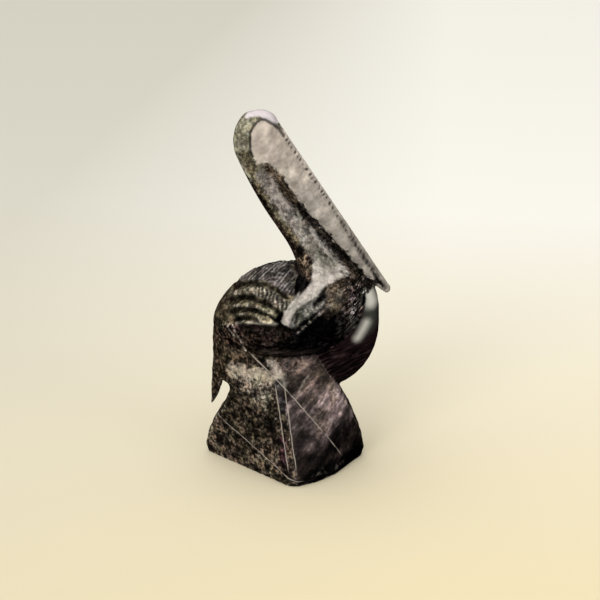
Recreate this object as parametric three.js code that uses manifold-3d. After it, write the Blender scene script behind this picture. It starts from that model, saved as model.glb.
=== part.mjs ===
import * as THREE from "three";
import { mergeVertices } from "three/addons/utils/BufferGeometryUtils.js";
import Module from "manifold-3d";

// A resting pelican carved together with its rock from one block of polished marble.
// Millimetres, +Z up. The bird faces +X and its middle plane is y = 0.

const V2 = (x, y) => new THREE.Vector2(x, y);
const V3 = (x, y, z) => new THREE.Vector3(x, y, z);

// Rounded masses: centre, half sizes along X, Y, up and down, roundness of the upper
// profile (2 is an ellipse) and lean about the Y axis in degrees.
const BACK = { centre: V3(-6, 0, 83), long: 37.5, wide: 29, up: 33, down: 17, power: 1.62, lean: 0 };
const SHOULDERS = { centre: V3(17, 0, 97), long: 20.5, wide: 29, up: 25, down: 25, power: 2, lean: 19 };
const BREAST = { centre: V3(12, 0, 84), long: 33, wide: 15.5, up: 33, down: 38, power: 3, lean: 0 };
const MASS_MERIDIANS = 36;
const MASS_PARALLELS = 18;

// Head and neck: middle line from the crown down into the shoulders, half thickness
// across the line in side view and half width across the bird at each of its points.
const NECK_LINE = [
  V3(-16.4, 0, 196),
  V3(-16.6, 0, 193.8),
  V3(-17.8, 0, 188),
  V3(-19.6, 0, 179),
  V3(-18.2, 0, 169),
  V3(-14.4, 0, 158),
  V3(-8.6, 0, 148),
  V3(-1, 0, 137.5),
  V3(6.2, 0, 127),
  V3(14, 0, 114),
  V3(19, 0, 102),
];
const NECK_THICK = [2.4, 7.4, 10.8, 11.6, 8.8, 7, 7, 7.4, 8.2, 11.5, 15];
const NECK_WIDE = [2, 6.2, 8.8, 9.8, 9.5, 8.8, 8.6, 9.2, 11.5, 17.5, 23];
const NECK_POWER = { upper: 2.5, lower: 2.5 };
const NECK_SIDES = 20;
const NECK_RINGS = 24;

// Bill: straight upper line from the forehead to the tip. Along it, the depth of the
// upper edge below that line, of the lower edge, and the half width. It is roofed to a
// ridge on top and rounded underneath.
const CULMEN_TOP = V3(-7.4, 0, 189.6);
const CULMEN_TIP = V3(50.9, 0, 103.5);
const BILL_AT = [-0.06, -0.045, -0.011, 0.044, 0.111, 0.16, 0.22, 0.3, 0.43, 0.58, 0.78, 0.92, 1, 1.006];
const BILL_UPPER = [1.4, 0.5, 0, 0, 0, 0, 0, 0, 0, 0, 0, 0, 0, 0.8];
const BILL_LOWER = [2.8, 6.4, 10.6, 15.6, 18.6, 17.6, 16.6, 15.8, 14, 11, 8.6, 6.4, 3.4, 2.6];
const BILL_WIDE = [3, 6.6, 9.2, 10.3, 10.4, 10.1, 9.7, 9.2, 8.4, 7.8, 7, 6, 3.6, 2.2];
const BILL_POWER = { upper: 1.25, lower: 3 };
const BILL_SIDES = 20;
const POUCH_WIDE = 3.6;
const POUCH_OUTLINE = [
  V2(-14, 170),
  V2(2, 160),
  V2(24, 134),
  V2(38, 112),
  V2(36, 104),
  V2(22, 100),
  V2(2, 130),
];

// Wing front: a raised fold on each side that runs from the neck down to the wing edge.
const FOLD_LINE = [
  V3(6, -2, 131),
  V3(12.2, -9, 121.4),
  V3(13.2, -17, 112.6),
  V3(9.4, -22.4, 106),
  V3(4.4, -24.4, 98.6),
  V3(-2, -26, 91.4),
];
const FOLD_SIDES = 10;
const FOLD_RINGS = 10;
const FOLD_THICK = [4, 5.6, 5.8, 4.6, 3.2, 2];

// Rock and rump: each corner climbs from its foot to its crown, and moves inward as a
// power of the height along X and along Y. Its edge is cut off to a blunt strip.
const ROCK_HEIGHT = 80;
const ROCK_LIP = 5;
const ROCK_LEVELS = 8;
const ROCK_SIDE_STEPS = 3;
const ROCK_FOOT_BEVEL = 1.6;
const ROCK_CORNERS = [
  { foot: V2(2.5, -33), crown: V2(-11.5, -20), power: V2(1, 1), blunt: 3.2 },
  { foot: V2(21.6, -20.4), crown: V2(-2, -21.4), power: V2(1, 1), blunt: 7 },
  { foot: V2(39, 14), crown: V2(7.5, -22), power: V2(1.7, 1), blunt: 3 },
  { foot: V2(19, 30.4), crown: V2(6, 16), power: V2(1, 1), blunt: 4 },
  { foot: V2(-27, 31.3), crown: V2(-26, 16), power: V2(1, 1), blunt: 4 },
  { foot: V2(-52.7, 9), crown: V2(-44.6, -3), power: V2(0.5, 0.45), blunt: 2.4 },
  { foot: V2(-24, -13.4), crown: V2(-30, -21.5), power: V2(1, 1), blunt: 9 },
];

// Slot between the hanging tail and the rock, in side view: the tail side from the tip
// up, the round end, then down the rock side and out to the left.
const TAIL_SIDE = [V2(-47.4, 33), V2(-45, 33.6), V2(-42.4, 38), V2(-40.4, 43.4)];
const SLOT_END = { centre: V2(-36.5, 48), radius: 2.9, steps: 6 };
const ROCK_SIDE = [
  V2(-34.2, 43.4),
  V2(-36.4, 38.4),
  V2(-39.4, 31.4),
  V2(-44.2, 24.6),
  V2(-48.2, 14.6),
  V2(-60, 10),
];

// Carved lines: feather rows of the folded wing from the top row down, wing edge, and
// the bill's side panel. The rows are drawn in side view.
const GROOVE_SIDES = 6;
const WING_ROWS = [
  [V2(-31.6, 102.8), V2(-26.9, 105.4), V2(-20.9, 107.4), V2(-14.6, 108.1), V2(-8, 106.4), V2(-1.6, 103.2)],
  [V2(-32.4, 98.3), V2(-27.4, 100.3), V2(-21.2, 101.7), V2(-15.9, 101.4), V2(-10.7, 99.6), V2(-4.5, 96.1)],
  [V2(-31.9, 93.6), V2(-26.8, 95.5), V2(-21.4, 96.6), V2(-16.2, 96.4), V2(-10.2, 94.7), V2(-3.6, 91.2)],
  [V2(-29, 90.6), V2(-26.6, 92), V2(-23.9, 92.9), V2(-20.6, 93.2), V2(-17.8, 92.9), V2(-15.4, 92.1)],
];
const ROW_GROOVE = 1.3;
const WING_EDGE = { from: V2(-31, 88.5), to: V2(-1, 90.5), groove: 1.2, steps: 8 };
const CHEEK_LINE = [
  { share: 0.061, below: 19.2, out: 9.6 },
  { share: 0.001, below: 16.7, out: 9.6 },
  { share: -0.047, below: 13.3, out: 8.9 },
  { share: -0.069, below: 8.2, out: 7.3 },
  { share: -0.067, below: 5.3, out: 6.1 },
  { share: -0.035, below: 2.8, out: 4.2 },
];
const PANEL_FROM = 0.02;
const PANEL_TO = 0.97;
const PANEL_STEPS = 9;
const PANEL_INSET = 1.1;
const PANEL_GROOVE = 0.8;

const wasm = await Module();
wasm.setup();

/** Turns a closed geometry into a solid. */
function solidOf(geometry) {
  const plain = geometry.clone();
  plain.deleteAttribute("normal");
  plain.deleteAttribute("uv");
  const merged = mergeVertices(plain, 1e-4);
  return new wasm.Manifold(
    new wasm.Mesh({
      numProp: 3,
      vertProperties: new Float32Array(merged.attributes.position.array),
      triVerts: new Uint32Array(merged.index.array),
    }),
  );
}

/** Turns a solid back into a geometry. */
function geometryOf(solid) {
  const mesh = solid.getMesh();
  const geometry = new THREE.BufferGeometry();
  geometry.setAttribute("position", new THREE.BufferAttribute(new Float32Array(mesh.vertProperties), 3));
  geometry.setIndex(new THREE.BufferAttribute(new Uint32Array(mesh.triVerts), 1));
  return geometry;
}

/** An egg-like mass whose upper and lower halves have their own heights. */
function mass({ centre, long, wide, up, down, power, lean }) {
  const geometry = new THREE.SphereGeometry(1, MASS_MERIDIANS, MASS_PARALLELS);
  geometry.rotateX(Math.PI / 2);
  const position = geometry.attributes.position;
  for (let i = 0; i < position.count; i += 1) {
    const p = V3().fromBufferAttribute(position, i);
    const flat = Math.hypot(p.x, p.y);
    const shape = p.z > 0 ? power : 2;
    const reach = flat > 0 ? flat ** (2 / shape) / flat : 0;
    const rise = Math.sign(p.z) * Math.abs(p.z) ** (2 / shape);
    position.setXYZ(i, p.x * reach * long, p.y * reach * wide, rise * (p.z > 0 ? up : down));
  }
  geometry.rotateY(THREE.MathUtils.degToRad(lean));
  geometry.translate(centre.x, centre.y, centre.z);
  return solidOf(geometry);
}

/** Skins equal rings of points, first to last, and closes both ends. */
function skin(rings) {
  const sides = rings[0].length;
  const points = rings.flat();
  const triangles = [];
  for (let r = 0; r + 1 < rings.length; r += 1) {
    for (let s = 0; s < sides; s += 1) {
      const a = r * sides + s;
      const b = r * sides + ((s + 1) % sides);
      triangles.push(a, b, b + sides, a, b + sides, a + sides);
    }
  }
  const ends = [rings[0], rings.at(-1)];
  ends.forEach((ring, end) => {
    const hub = points.length;
    const first = end === 0 ? 0 : (rings.length - 1) * sides;
    points.push(ring.reduce((sum, p) => sum.add(p), V3(0, 0, 0)).divideScalar(sides));
    for (let s = 0; s < sides; s += 1) {
      const a = first + s;
      const b = first + ((s + 1) % sides);
      triangles.push(...(end === 0 ? [hub, b, a] : [hub, a, b]));
    }
  });
  const geometry = new THREE.BufferGeometry().setFromPoints(points);
  geometry.setIndex(triangles);
  return solidOf(geometry);
}

/** A ring across a line in the middle plane, with its own roundness above and below. */
function ringAcross(centre, outward, thick, wide, power, sides) {
  return Array.from({ length: sides }, (_, i) => {
    const angle = (-2 * Math.PI * i) / sides;
    const c = Math.cos(angle);
    const s = Math.sin(angle);
    const shape = c > 0 ? power.upper : power.lower;
    const u = Math.sign(c) * Math.abs(c) ** (2 / shape) * thick;
    const v = Math.sign(s) * Math.abs(s) ** (2 / shape) * wide;
    return V3(centre.x + outward.x * u, centre.y + v, centre.z + outward.z * u);
  });
}

/** Reads a list of sizes as a smooth curve, at a share of its length. */
function sizeAlong(sizes, share) {
  const curve = new THREE.SplineCurve(sizes.map((size, i) => V2(i, size)));
  return curve.getPoint(share).y;
}

/** The head and neck, from the crown to inside the shoulders. */
function headAndNeck() {
  const line = new THREE.CatmullRomCurve3(NECK_LINE);
  const rings = [];
  for (let i = 0; i <= NECK_RINGS; i += 1) {
    const share = i / NECK_RINGS;
    const along = line.getTangent(share);
    const outward = V3(-along.z, 0, along.x);
    const thick = sizeAlong(NECK_THICK, share);
    const wide = sizeAlong(NECK_WIDE, share);
    rings.push(ringAcross(line.getPoint(share), outward, thick, wide, NECK_POWER, NECK_SIDES));
  }
  return skin(rings);
}

/** A point below the upper edge of the bill, at a share of its length. */
function billPoint(share, below) {
  const along = CULMEN_TIP.clone().sub(CULMEN_TOP).normalize();
  const inward = V3(along.z, 0, -along.x);
  return CULMEN_TOP.clone().lerp(CULMEN_TIP, share).addScaledVector(inward, below);
}

/** Reads one of the bill's size lists at a share of its length. */
function billSize(sizes, share) {
  const next = Math.max(1, BILL_AT.findIndex((at) => at >= share));
  const t = (share - BILL_AT[next - 1]) / (BILL_AT[next] - BILL_AT[next - 1]);
  return THREE.MathUtils.lerp(sizes[next - 1], sizes[next], t);
}

/** The long bill, rounded off on the cheek and laid straight down the front of the neck. */
function bill() {
  const along = CULMEN_TIP.clone().sub(CULMEN_TOP).normalize();
  const outward = V3(-along.z, 0, along.x);
  const rings = BILL_AT.map((share, i) => {
    const half = (BILL_LOWER[i] - BILL_UPPER[i]) / 2;
    const centre = billPoint(share, BILL_UPPER[i] + half);
    return ringAcross(centre, outward, half, BILL_WIDE[i], BILL_POWER, BILL_SIDES);
  });
  return skin(rings);
}

/** A rounded fold along a line, thicker in the middle. */
function fold(points) {
  const line = new THREE.CatmullRomCurve3(points);
  const { normals, binormals } = line.computeFrenetFrames(FOLD_RINGS);
  const rings = [];
  for (let i = 0; i <= FOLD_RINGS; i += 1) {
    const centre = line.getPointAt(i / FOLD_RINGS);
    const radius = sizeAlong(FOLD_THICK, i / FOLD_RINGS);
    rings.push(
      Array.from({ length: FOLD_SIDES }, (_, side) => {
        const angle = (2 * Math.PI * side) / FOLD_SIDES;
        const p = centre.clone().addScaledVector(normals[i], radius * Math.cos(angle));
        return p.addScaledVector(binormals[i], radius * Math.sin(angle));
      }),
    );
  }
  return skin(rings);
}

/** A plate with the given outline in side view, centred on the middle plane. */
function sideways(outline, width) {
  const shape = new THREE.Shape(outline);
  const geometry = new THREE.ExtrudeGeometry(shape, { depth: width, bevelEnabled: false });
  geometry.rotateX(Math.PI / 2);
  geometry.translate(0, width / 2, 0);
  return solidOf(geometry);
}

/** The thin folded pouch that joins the bill to the neck. */
function pouch() {
  return sideways(POUCH_OUTLINE, 2 * POUCH_WIDE);
}

/** The slot that frees the tail from the rock, cut straight through. */
function tailSlot() {
  const outline = [...TAIL_SIDE];
  for (let i = 0; i <= SLOT_END.steps; i += 1) {
    const angle = Math.PI * (1 - i / SLOT_END.steps);
    const edge = V2(Math.cos(angle), Math.sin(angle)).multiplyScalar(SLOT_END.radius);
    outline.push(edge.add(SLOT_END.centre));
  }
  outline.push(...ROCK_SIDE);
  return sideways(outline, 2 * ROCK_HEIGHT);
}

/** The rock: a seven-cornered block with blunt corners, narrowing under the bird. */
function rock() {
  const rings = [];
  for (let level = 0; level <= ROCK_LEVELS; level += 1) {
    const z = level === 0 ? 0 : ROCK_LIP + ((ROCK_HEIGHT - ROCK_LIP) * (level - 1)) / (ROCK_LEVELS - 1);
    const t = Math.max(0, z - ROCK_LIP) / (ROCK_HEIGHT - ROCK_LIP);
    const corners = ROCK_CORNERS.map(({ foot, crown, power }) => {
      const inward = V2(t ** power.x, t ** power.y);
      return crown.clone().sub(foot).multiply(inward).add(foot);
    });
    const middle = corners.reduce((sum, c) => sum.add(c), V2(0, 0)).divideScalar(corners.length);
    const cuts = corners.flatMap((corner, i) => {
      const neighbours = [corners.at(i - 1), corners[(i + 1) % corners.length]];
      return neighbours.map((p) => p.clone().sub(corner).setLength(ROCK_CORNERS[i].blunt).add(corner));
    });
    const ring = [];
    cuts.forEach((from, i) => {
      const to = cuts[(i + 1) % cuts.length];
      const steps = i % 2 === 0 ? 1 : ROCK_SIDE_STEPS;
      for (let step = 0; step < steps; step += 1) {
        const p = from.clone().lerp(to, step / steps);
        if (level === 0) {
          p.add(middle.clone().sub(p).setLength(ROCK_FOOT_BEVEL));
        }
        ring.push(V3(p.x, p.y, z));
      }
    });
    rings.push(ring);
  }
  return skin(rings);
}

/** The right flank of an upright mass at a place in side view, as a point on its surface. */
function onFlank({ centre, long, wide, up, down, power }, x, z) {
  const lift = (z - centre.z) / (z > centre.z ? up : down);
  const shape = lift > 0 ? power : 2;
  const reach = (1 - Math.abs(lift) ** shape) ** (1 / shape);
  const share = (x - centre.x) / long;
  return V3(x, -wide * Math.sqrt(Math.max(0, reach ** 2 - share ** 2)), z);
}

/** A round groove cutter along a list of points. */
function groove(points, radius) {
  const circle = new THREE.Shape();
  for (let i = 0; i < GROOVE_SIDES; i += 1) {
    const angle = (2 * Math.PI * i) / GROOVE_SIDES;
    const p = V2(Math.cos(angle) * radius, Math.sin(angle) * radius);
    if (i === 0) {
      circle.moveTo(p.x, p.y);
    } else {
      circle.lineTo(p.x, p.y);
    }
  }
  circle.closePath();
  const extrudePath = new THREE.CatmullRomCurve3(points);
  return solidOf(new THREE.ExtrudeGeometry(circle, { steps: 2 * points.length, extrudePath }));
}

/** What a line on the right flank makes, together with the same on the left flank. */
function bothSides(points, make) {
  const mirrored = points.map((p) => V3(p.x, -p.y, p.z));
  return make(points).add(make(mirrored));
}

/** Curved feather rows, one below the other. */
function featherRows() {
  return WING_ROWS.map((row) => {
    const points = row.map((p) => onFlank(BACK, p.x, p.y));
    return bothSides(points, (line) => groove(line, ROW_GROOVE));
  });
}

/** The lower edge of the folded wing. */
function wingEdge() {
  const points = [];
  for (let i = 0; i <= WING_EDGE.steps; i += 1) {
    const p = WING_EDGE.from.clone().lerp(WING_EDGE.to, i / WING_EDGE.steps);
    points.push(onFlank(BACK, p.x, p.y));
  }
  return bothSides(points, (line) => groove(line, WING_EDGE.groove));
}

/** The line that frames the side of the bill: round the cheek, then along the culmen. */
function billPanel() {
  const points = CHEEK_LINE.map(({ share, below, out }) => billPoint(share, below).setY(-out));
  for (let i = 0; i <= PANEL_STEPS; i += 1) {
    const share = THREE.MathUtils.lerp(PANEL_FROM, PANEL_TO, i / PANEL_STEPS);
    const p = billPoint(share, PANEL_INSET);
    const half = billSize(BILL_LOWER, share) / 2;
    const side = (1 - (1 - PANEL_INSET / half) ** BILL_POWER.upper) ** (1 / BILL_POWER.upper);
    points.push(V3(p.x, -billSize(BILL_WIDE, share) * side, p.z));
  }
  return bothSides(points, (line) => groove(line, PANEL_GROOVE));
}

const body = [mass(BACK), mass(SHOULDERS), mass(BREAST), bothSides(FOLD_LINE, fold)];
const front = [headAndNeck(), bill(), pouch()];
let carving = rock().subtract(tailSlot());
for (const form of [...body, ...front]) {
  carving = carving.add(form);
}
for (const cut of [...featherRows(), wingEdge(), billPanel()]) {
  carving = carving.subtract(cut);
}

const marble = new THREE.MeshStandardMaterial({ color: "#4a4438", roughness: 0.3, metalness: 0 });
const pelican = new THREE.Mesh(geometryOf(carving), marble);
pelican.name = "pelican_carving";

const group = new THREE.Group();
group.add(pelican);
export default group;
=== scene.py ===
"""Looks of a resting pelican that is carved with its rock from one block of marble.

Sizes in the classes are millimetres in the frame of the solids: the bird faces +X, its
middle plane is y = 0 and +Z is up. The limits that x, y and z are eased between are places
in that frame, and lines drawn in side view hold x and z. Blender's own objects are in metres.
"""

import logging
import math
from collections.abc import Sequence
from dataclasses import dataclass
from enum import Enum

import bpy
import numpy as np
from bpy.types import Material, Mesh, Node, NodeSocket, NodeTree, Object
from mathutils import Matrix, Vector, noise


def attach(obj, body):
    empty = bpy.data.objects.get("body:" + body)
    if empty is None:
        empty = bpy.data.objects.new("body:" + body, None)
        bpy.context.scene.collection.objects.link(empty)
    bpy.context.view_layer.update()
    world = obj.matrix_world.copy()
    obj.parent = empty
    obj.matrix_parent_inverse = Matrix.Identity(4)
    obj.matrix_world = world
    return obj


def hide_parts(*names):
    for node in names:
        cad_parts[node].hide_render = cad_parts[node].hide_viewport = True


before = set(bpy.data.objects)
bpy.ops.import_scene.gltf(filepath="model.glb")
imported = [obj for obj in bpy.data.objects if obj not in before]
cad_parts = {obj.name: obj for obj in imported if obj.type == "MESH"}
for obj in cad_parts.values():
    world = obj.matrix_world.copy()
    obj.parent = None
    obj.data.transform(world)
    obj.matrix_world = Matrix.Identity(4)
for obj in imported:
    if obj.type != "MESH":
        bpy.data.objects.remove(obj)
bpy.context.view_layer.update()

LOG = logging.getLogger("pelican")
MM_PER_M = 1000.0
NODE = "pelican_carving"

SEED_STEP = 37.0
RAGGED_MM = 3.0
RAGGED_FINE_MM = 1.3
RAGGED_FINE_SHARE = 0.6

Array = np.ndarray
Line = tuple[tuple[float, float], ...]
Place = tuple[float, float, float]
Colour = tuple[float, float, float]
Sockets = dict[str, NodeSocket]


class Stone(Enum):
    """Colours that run through the block, named for where they show, and painted highlights and shade."""

    BILL = "#ccbeae"
    BILL_LOW = "#aea497"
    CAP = "#8d8771"
    CROWN = "#e3d8d8"
    NECK_OLIVE = "#70664f"
    NECK_DARK = "#2a221a"
    NECK_MAUVE = "#8a8278"
    NECK_BROWN = "#584b3d"
    NECK_LOW = "#7a7569"
    NECK_RIDGE = "#cbc4b9"
    BAND = "#bbb2a7"
    GAP = "#231e1a"
    TAN = "#51463a"
    BREAST = "#060505"
    RIM = "#38332f"
    BELLY = "#1d1313"
    PALE = "#dcd7c8"
    SHEEN = "#42423c"
    LENS = "#716e65"
    BACK = "#4b4541"
    BARB = "#a09993"
    WING = "#80775f"
    QUILL = "#948c7d"
    FLANK = "#221a16"
    RUMP = "#3d3326"
    SAND = "#b3a48e"
    ROCK_LEFT = "#332b21"
    ROCK_LEFT_LOW = "#443a2e"
    ROCK_RIGHT = "#796966"
    ROCK_RIGHT_UP = "#5f5049"
    ROCK_NEAR = "#2e2b2c"
    ROCK_RIGHT_LOW = "#221a17"
    ROCK_FOOT = "#080506"
    MAGENTA = "#4c2234"
    VEIN = "#b9ad9d"


def linear(colour: str) -> Colour:
    """Turns an sRGB hex colour to linear light.

    Args:
        colour: The colour as "#rrggbb".

    Returns:
        Red, green and blue in linear light.
    """
    parts = [int(colour[i : i + 2], 16) / 255 for i in (1, 3, 5)]
    red, green, blue = (p / 12.92 if p <= 0.04045 else ((p + 0.055) / 1.055) ** 2.4 for p in parts)
    return red, green, blue


def ramp(values: Array, start: float, end: float) -> Array:
    """Eases values from 0 at start to 1 at end, which may lie above or below start."""
    t = np.clip((values - start) / (end - start), 0, 1)
    return t * t * (3 - 2 * t)


def grain(points: Array, size: float, seed: int) -> Array:
    """Smooth noise between about -1 and 1, with lumps of a size; another seed gives other lumps."""
    return np.array([noise.noise(p) for p in (points / size + SEED_STEP * seed).tolist()])


def to_line(points: Array, line: Sequence[Sequence[float]], closed: bool = False) -> Array:
    """Distance from points to a broken line, in two or three dimensions.

    Args:
        points: One row per point.
        line: The corners of the line.
        closed: Whether the line is a closed outline, with distances below 0 inside it.

    Returns:
        One distance per point.
    """
    corners = np.array(line)
    ends = np.roll(corners, -1, axis=0) if closed else corners[1:]
    best = np.full(len(points), np.inf)
    inside = np.zeros(len(points), bool)
    for start, end in zip(corners, ends):
        along, off = end - start, points - start
        t = np.clip(off @ along / (along @ along), 0, 1)
        best = np.minimum(best, np.linalg.norm(off - t[:, None] * along, axis=1))
        if closed and along[1]:
            # A point is inside where a ray towards +X crosses an odd number of sides.
            crosses = (start[1] > points[:, 1]) != (end[1] > points[:, 1])
            inside ^= crosses & (points[:, 0] < start[0] + off[:, 1] * along[0] / along[1])
    return np.where(inside, -best, best)


def above(points: Array, line: Line) -> Array:
    """How far points lie above a line that is drawn in side view."""
    along, level = np.array(line).T
    return points[:, 2] - np.interp(points[:, 0], along, level)


def rows_of(items: Sequence, key: str, columns: int, kind: type = np.float32) -> Array:
    """Reads one property of the parts of a mesh.

    Args:
        items: The points, edges, faces or normals.
        key: The property.
        columns: How many numbers it has.
        kind: The type of number.

    Returns:
        One row per part.
    """
    flat = np.empty(columns * len(items), kind)
    items.foreach_get(key, flat)
    return flat.reshape(-1, columns)


class Skin:
    """The surface of the carving while it is worked, with one row per point.

    Positions are millimetres, tint is linear light, and the rest are shares from 0 to 1.
    """

    RUB = 0.5
    RUB_BACK = -0.52

    def __init__(self, mesh: Mesh) -> None:
        """Reads the points and edges of a mesh.

        Args:
            mesh: The mesh that is worked.
        """
        self.mesh = mesh
        count = len(mesh.vertices)
        self.points = rows_of(mesh.vertices, "co", 3).astype(float) * MM_PER_M
        self.edges = rows_of(mesh.edges, "vertices", 2, np.int32)
        self.tint = np.zeros((count, 3))
        self.mottle = np.zeros(count)
        self.streak = np.zeros(count)
        self.scratch = np.zeros(count)
        self.rough = np.zeros(count)
        self.hollow_grime_and_shade = np.zeros(count)
        self.vein = np.zeros(count)
        self.edge_line = np.zeros(count)

    def side_view(self) -> Array:
        """The points seen from the side, as x and z."""
        return self.points[:, [0, 2]]

    def right_flank(self) -> Array:
        """The points folded over onto the bird's right side."""
        x, y, z = self.points.T
        return np.stack((x, -np.abs(y), z), axis=1)

    def store(self) -> None:
        """Writes the points back to the mesh."""
        self.mesh.vertices.foreach_set("co", (self.points / MM_PER_M).astype(np.float32).ravel())
        self.mesh.update()

    def normals(self) -> Array:
        """The outward direction at each point."""
        self.store()
        return rows_of(self.mesh.vertex_normals, "vector", 3).astype(float)

    def rub(self, share: Array, rounds: int, keep_size: bool = True) -> None:
        """Evens the surface out, as rubbing with grit does.

        Args:
            share: How much each point gives way.
            rounds: How often the surface is gone over.
            keep_size: Whether broad forms keep their size, or hollows fill up.
        """
        a, b = self.edges.T
        count = len(self.points)
        degree = np.maximum(np.bincount(self.edges.ravel(), minlength=count), 1)
        steps = (self.RUB, self.RUB_BACK) if keep_size else (self.RUB,)
        for step in steps * rounds:
            for axis in range(3):
                column = self.points[:, axis]
                total = np.bincount(a, column[b], count) + np.bincount(b, column[a], count)
                self.points[:, axis] = column + step * share * (total / degree - column)

    def grain(self, size: float, seed: int) -> Array:
        """Smooth noise over the surface, with lumps of a size in millimetres."""
        return grain(self.points, size, seed)

    def press(self, depth: Array) -> None:
        """Moves the surface inward by a depth in millimetres."""
        self.points -= depth[:, None] * self.normals()

    def paint(self, share: Array, stone: Stone) -> None:
        """Blends a colour of the stone in."""
        self.tint += share[:, None] * (np.array(linear(stone.value)) - self.tint)

    def finish(self) -> None:
        """Stores points, colours and finish shares on the mesh."""
        self.store()
        ones = np.ones(len(self.points))
        layers = {
            "tint": (*self.tint.T, ones),
            "figure": (self.mottle, self.streak, self.scratch, ones),
            "rough_hollow_vein": (self.rough, self.hollow_grime_and_shade, self.vein, ones),
            "edges": (self.edge_line, self.edge_line, self.edge_line, ones),
        }
        for name, columns in layers.items():
            layer = self.mesh.color_attributes.new(name, "FLOAT_COLOR", "POINT")
            layer.data.foreach_set("color", np.stack(columns, axis=1).astype(np.float32).ravel())


@dataclass(frozen=True)
class Stain:
    """A patch of one colour in the stone, drawn in side view."""

    stone: Stone
    line: Line
    reach: float
    soft: float = 1.0
    ragged: float = 0.0
    share: float = 1.0
    closed: bool = False
    mottle: float = 0.5

    def share_at(self, skin: Skin) -> Array:
        """How much of the stain each point has.

        Args:
            skin: The surface.

        Returns:
            Shares between 0 and 1.
        """
        away = to_line(skin.side_view(), self.line, self.closed)
        if self.ragged:
            fine = RAGGED_FINE_SHARE * skin.grain(RAGGED_FINE_MM, 2)
            away = away + self.ragged * (skin.grain(RAGGED_MM, 1) + fine)
        return self.share * ramp(away, self.reach + self.soft / 2, self.reach - self.soft / 2)

    def lay(self, skin: Skin, where: Array | float = 1.0) -> None:
        """Colours the surface with the stain.

        Args:
            skin: The surface.
            where: How much each point can take the stain.
        """
        share = where * self.share_at(skin)
        skin.paint(share, self.stone)
        skin.mottle += share * (self.mottle - skin.mottle)


@dataclass(frozen=True)
class Mass:
    """One of the rounded masses that the body is made of."""

    centre: Place
    long: float
    wide: float
    up: float
    down: float
    power: float = 2.0
    lean: float = 0.0

    def level(self, points: Array) -> Array:
        """How far out points are: 1 on the surface of the mass.

        Args:
            points: Places in millimetres.

        Returns:
            One level per point.
        """
        x, y, z = (points - self.centre).T
        angle = math.radians(self.lean)
        along = x * math.cos(angle) - z * math.sin(angle)
        rise = x * math.sin(angle) + z * math.cos(angle)
        flat = np.hypot(along / self.long, y / self.wide)
        lift = np.abs(rise) / np.where(rise > 0, self.up, self.down)
        power = np.where(rise > 0, self.power, 2.0)
        return (flat**power + lift**power) ** (1 / power)


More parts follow.
